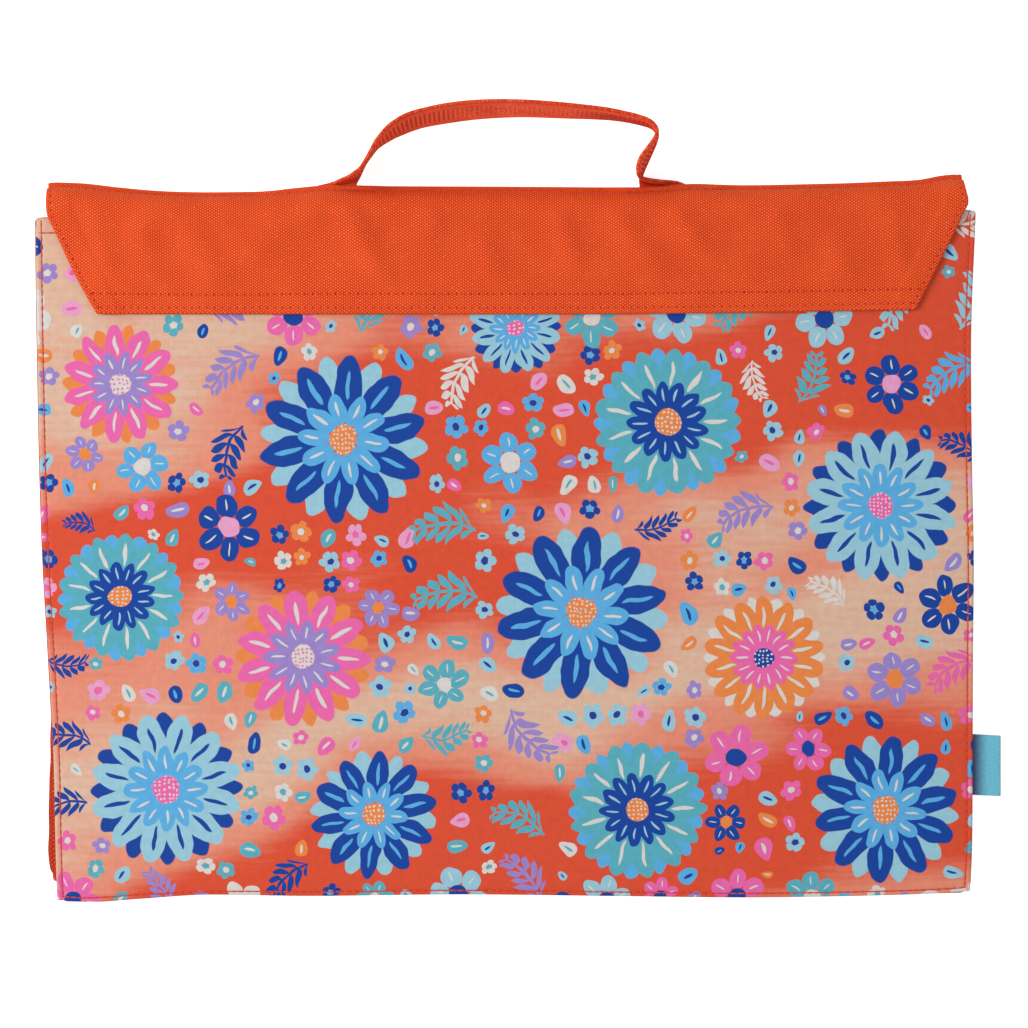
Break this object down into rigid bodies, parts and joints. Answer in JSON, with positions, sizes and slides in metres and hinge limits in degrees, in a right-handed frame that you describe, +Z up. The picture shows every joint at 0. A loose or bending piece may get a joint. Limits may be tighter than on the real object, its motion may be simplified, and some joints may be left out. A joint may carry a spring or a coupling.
{
  "type": "library bag",
  "caption": "Flat gusseted book bag lying on its back, with a printed front panel, a roll-over flap, a webbing grab handle and a small side label.",
  "frame": {"origin": "on the surface that the bag lies on, in the middle of the back panel", "axes": "+X to the right across the bag as seen from above, +Y from the bottom seam to the flap, +Z up from the surface"},
  "size_m": [0.3816, 0.316, 0.0261],
  "materials": {
    "orange_cloth": "matte coated plain weave",
    "printed_cloth": "matte printed weave",
    "orange_webbing": "ribbed webbing",
    "teal_satin": "satin ribbon"
  },
  "bodies": {
    "root": {"back_panel": "orange_cloth", "gusset": "orange_cloth", "front_panel": "printed_cloth", "flap": "orange_cloth", "handle": "orange_webbing", "side_label": "teal_satin"}
  },
  "joints": []
}
